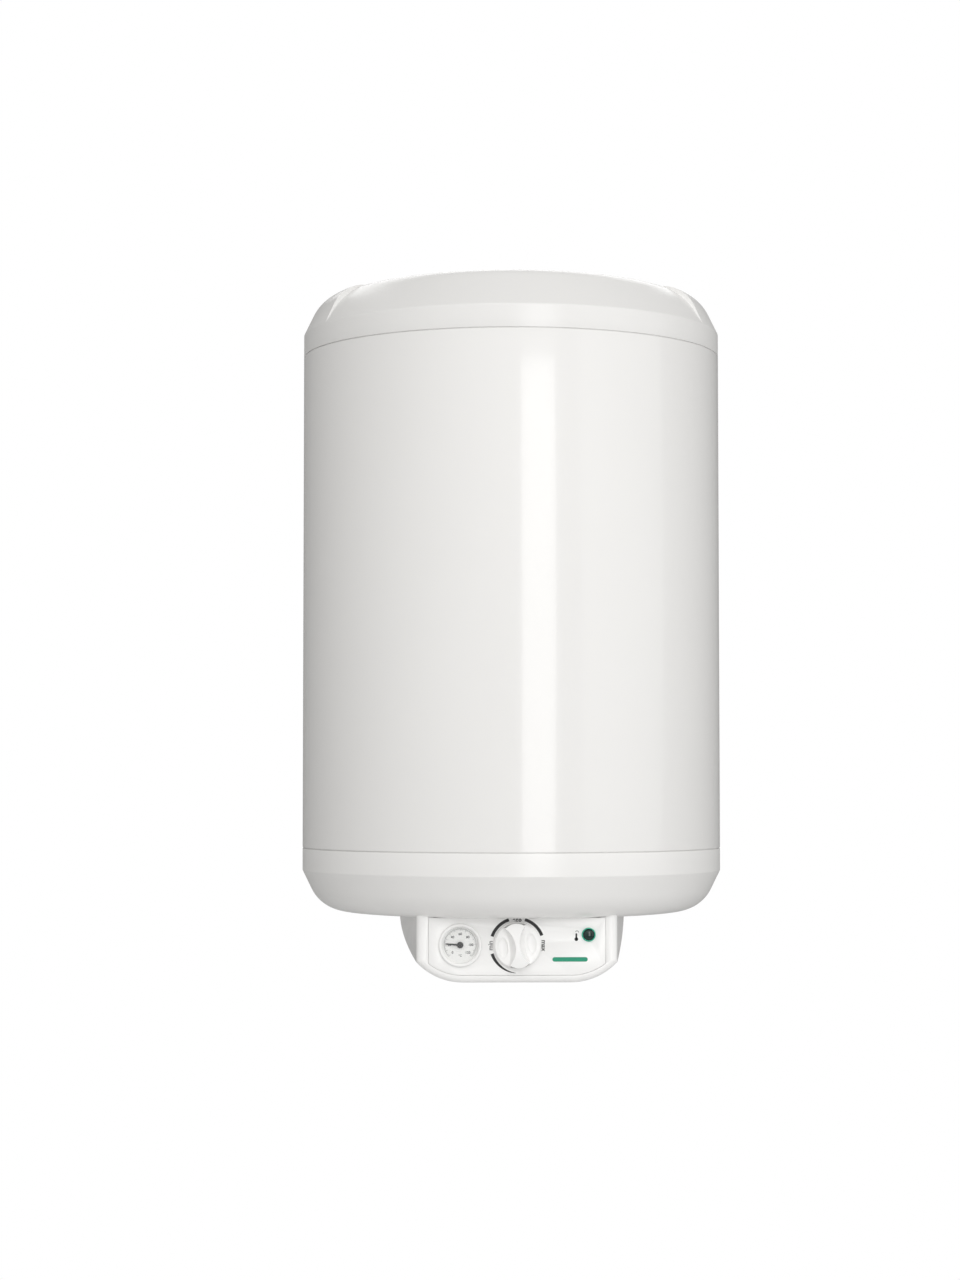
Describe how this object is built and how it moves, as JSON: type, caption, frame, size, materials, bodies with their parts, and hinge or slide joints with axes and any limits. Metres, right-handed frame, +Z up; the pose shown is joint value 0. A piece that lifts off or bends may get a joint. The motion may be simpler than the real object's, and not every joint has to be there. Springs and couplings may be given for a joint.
{
  "type": "tank water heater",
  "caption": "Wall-hung upright electric storage water heater: round enamelled jacket, domed caps and a control box below with knob, thermometer and lamp.",
  "frame": {"origin": "middle of the upper wall bracket's two slots, on the wall plane", "axes": "+Z up, +Y into the wall, control panel facing -Y, +X to the right of someone facing the heater"},
  "size_m": [0.45, 0.47, 0.7302],
  "materials": {
    "white_enamel": "gloss white stove enamel",
    "white_plastic": "gloss white ABS",
    "clear_lens": "clear, smooth",
    "dial_white": "satin white printed dial",
    "black_plastic": "satin black",
    "green_lens": "gloss dark green",
    "green_rim": "gloss green",
    "zinc_steel": "bright zinc plate",
    "tank_steel": "dark enamelled steel",
    "pu_foam": "closed-cell polyurethane foam",
    "copper_tube": "bare copper",
    "brass": "bare brass",
    "incoloy": "dull nickel alloy",
    "magnesium": "dull cast magnesium",
    "blue_plastic": "gloss blue",
    "red_plastic": "gloss red",
    "rubber_black": "matt rubber",
    "grey_plastic": "satin grey nylon",
    "wire_brown": "satin PVC",
    "wire_blue": "satin PVC",
    "wire_green_yellow": "satin PVC"
  },
  "bodies": {
    "heater": {"outer_jacket": "white_enamel", "top_cap": "white_plastic", "bottom_cap": "white_plastic", "control_box": "white_plastic", "control_panel": "white_plastic", "box_screws": "zinc_steel", "thermometer_case": "white_plastic", "thermometer_bezel": "white_plastic", "thermometer_lens": "clear_lens", "thermometer_dial": "dial_white", "bourdon_movement": "brass", "thermostat_body": "black_plastic", "thermostat_screws": "zinc_steel", "lamp_rim": "green_rim", "lamp_lens": "green_lens", "lamp_holder": "black_plastic", "tank_shell": "tank_steel", "tank_top_dome": "tank_steel", "tank_bottom_dome": "tank_steel", "flange_neck": "tank_steel", "tank_bosses": "zinc_steel", "foam_side": "pu_foam", "foam_top": "pu_foam", "foam_bottom": "pu_foam", "cold_inlet_pipe": "zinc_steel", "hot_outlet_pipe": "zinc_steel", "inlet_diffuser": "grey_plastic", "cold_collar": "blue_plastic", "hot_collar": "red_plastic", "flange_plate": "zinc_steel", "flange_studs": "zinc_steel", "flange_nuts": "zinc_steel", "flange_gasket": "rubber_black", "earth_stud": "brass", "earth_nut": "brass", "heating_element": "incoloy", "element_bushes": "brass", "element_terminals": "zinc_steel", "thermowells": "copper_tube", "magnesium_anode": "magnesium", "anode_stud": "zinc_steel", "cutout_body": "black_plastic", "cutout_stem": "copper_tube", "thermostat_capillary": "copper_tube", "thermometer_capillary": "copper_tube", "terminal_block": "grey_plastic", "terminal_screws": "zinc_steel", "cable_gland": "grey_plastic", "gland_nut": "grey_plastic", "brown_wires": "wire_brown", "blue_wire": "wire_blue", "earth_wire": "wire_green_yellow", "upper_wall_bracket": "zinc_steel", "lower_wall_bracket": "zinc_steel", "bracket_bolts": "zinc_steel"},
    "knob": {"thermostat_knob": "white_plastic", "thermostat_shaft": "zinc_steel"},
    "needle": {"thermometer_needle": "black_plastic", "needle_spindle": "zinc_steel"},
    "reset_button": {"cutout_reset_button": "red_plastic"}
  },
  "joints": [
    {"name": "knob_turn", "type": "hinge", "parent": "heater", "child": "knob", "pos_m": [0, -0.41, -0.50369], "axis": [0, -1, 0], "range_deg": [-98, 172]},
    {"name": "needle_turn", "type": "hinge", "parent": "heater", "child": "needle", "pos_m": [-0.058, -0.41, -0.50369], "axis": [0, -1, 0], "range_deg": [-220.5, 49.5]},
    {"name": "reset_press", "type": "slide", "parent": "heater", "child": "reset_button", "axis": [0, 0, 1], "range_m": [0, 0.0015], "stiffness_N_per_m": 400, "springref_m": -0.002}
  ]
}
